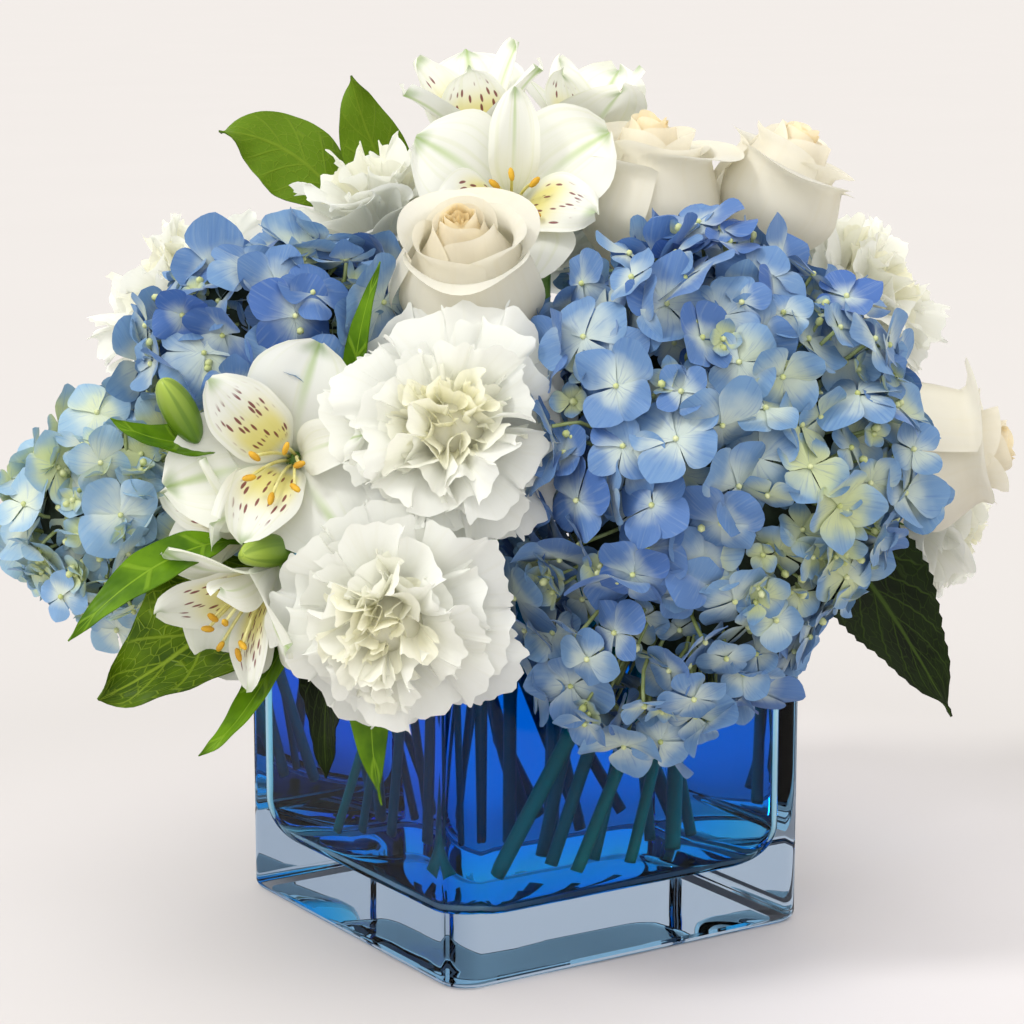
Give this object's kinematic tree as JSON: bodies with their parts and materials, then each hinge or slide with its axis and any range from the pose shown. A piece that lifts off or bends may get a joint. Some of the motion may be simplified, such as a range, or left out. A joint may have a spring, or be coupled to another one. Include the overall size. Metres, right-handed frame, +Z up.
{
  "type": "hydrangeas in a vase",
  "caption": "Low round bouquet of blue hydrangeas, white carnations, cream roses and alstroemeria with leaves, in a square clear glass vase of blue-tinted water.",
  "frame": {"origin": "centre of the flat underside of the vase, on the surface it stands on", "axes": "+Z up; the arrangement's front, with the largest hydrangea at its right, faces -Y; one upright corner of the vase comes to the front, as the vase is turned 33 degrees about Z"},
  "size_m": [0.2975, 0.2602, 0.2561],
  "materials": {
    "clear_glass": "clear and glossy",
    "blue_water": "clear, deep blue tint",
    "hydrangea_petal": "soft matte petal, blue at the edge and cream at the centre",
    "carnation_petal": "soft matte petal, white with a cream centre",
    "rose_petal": "satin petal, ivory with a warm centre",
    "alstroemeria_petal": "satin petal, white with yellow and maroon marks",
    "alstroemeria_bud": "satin, yellow-green",
    "stem": "satin, green",
    "leaf": "waxy satin, green"
  },
  "bodies": {
    "root": {"alstroemeria_left_low_flower": "alstroemeria_petal", "alstroemeria_left_lower_bud": "alstroemeria_bud", "alstroemeria_left_open_flower": "alstroemeria_petal", "alstroemeria_left_side_flower": "alstroemeria_petal", "alstroemeria_left_stem": "stem", "alstroemeria_left_upper_bud": "alstroemeria_bud", "alstroemeria_top_back_flower": "alstroemeria_petal", "alstroemeria_top_front_flower": "alstroemeria_petal", "alstroemeria_top_stem": "stem", "alstroemeria_top_tall_flower": "alstroemeria_petal", "carnation_back_high_head": "carnation_petal", "carnation_back_high_stem": "stem", "carnation_back_low_head": "carnation_petal", "carnation_back_low_stem": "stem", "carnation_front_high_head": "carnation_petal", "carnation_front_high_stem": "stem", "carnation_front_low_head": "carnation_petal", "carnation_front_low_stem": "stem", "carnation_left_back_head": "carnation_petal", "carnation_left_back_stem": "stem", "carnation_left_high_head": "carnation_petal", "carnation_left_high_stem": "stem", "carnation_right_high_head": "carnation_petal", "carnation_right_high_stem": "stem", "carnation_right_low_head": "carnation_petal", "carnation_right_low_stem": "stem", "carnation_top_left_head": "carnation_petal", "carnation_top_left_stem": "stem", "glass_vase": "clear_glass", "hydrangea_back_left_head": "hydrangea_petal", "hydrangea_back_left_stem": "stem", "hydrangea_back_right_head": "hydrangea_petal", "hydrangea_back_right_stem": "stem", "hydrangea_far_left_head": "hydrangea_petal", "hydrangea_far_left_stem": "stem", "hydrangea_front_right_head": "hydrangea_petal", "hydrangea_front_right_stem": "stem", "hydrangea_upper_left_head": "hydrangea_petal", "hydrangea_upper_left_stem": "stem", "leaf_alstroemeria_lower": "leaf", "leaf_alstroemeria_upper": "leaf", "leaf_blade_over_rim": "leaf", "leaf_dark_over_rim": "leaf", "leaf_grass_blade": "leaf", "leaf_hydrangea_right": "leaf", "leaf_pointed_low_left": "leaf", "leaf_salal_back_left": "leaf", "leaf_salal_back_right": "leaf", "leaf_salal_low_left": "leaf", "leaf_salal_top": "leaf", "leaf_salal_top_left": "leaf", "rose_front_head": "rose_petal", "rose_front_stem": "stem", "rose_right_head": "rose_petal", "rose_right_stem": "stem", "rose_top_head": "rose_petal", "rose_top_right_head": "rose_petal", "rose_top_right_stem": "stem", "rose_top_stem": "stem", "tinted_water": "blue_water"}
  },
  "joints": []
}
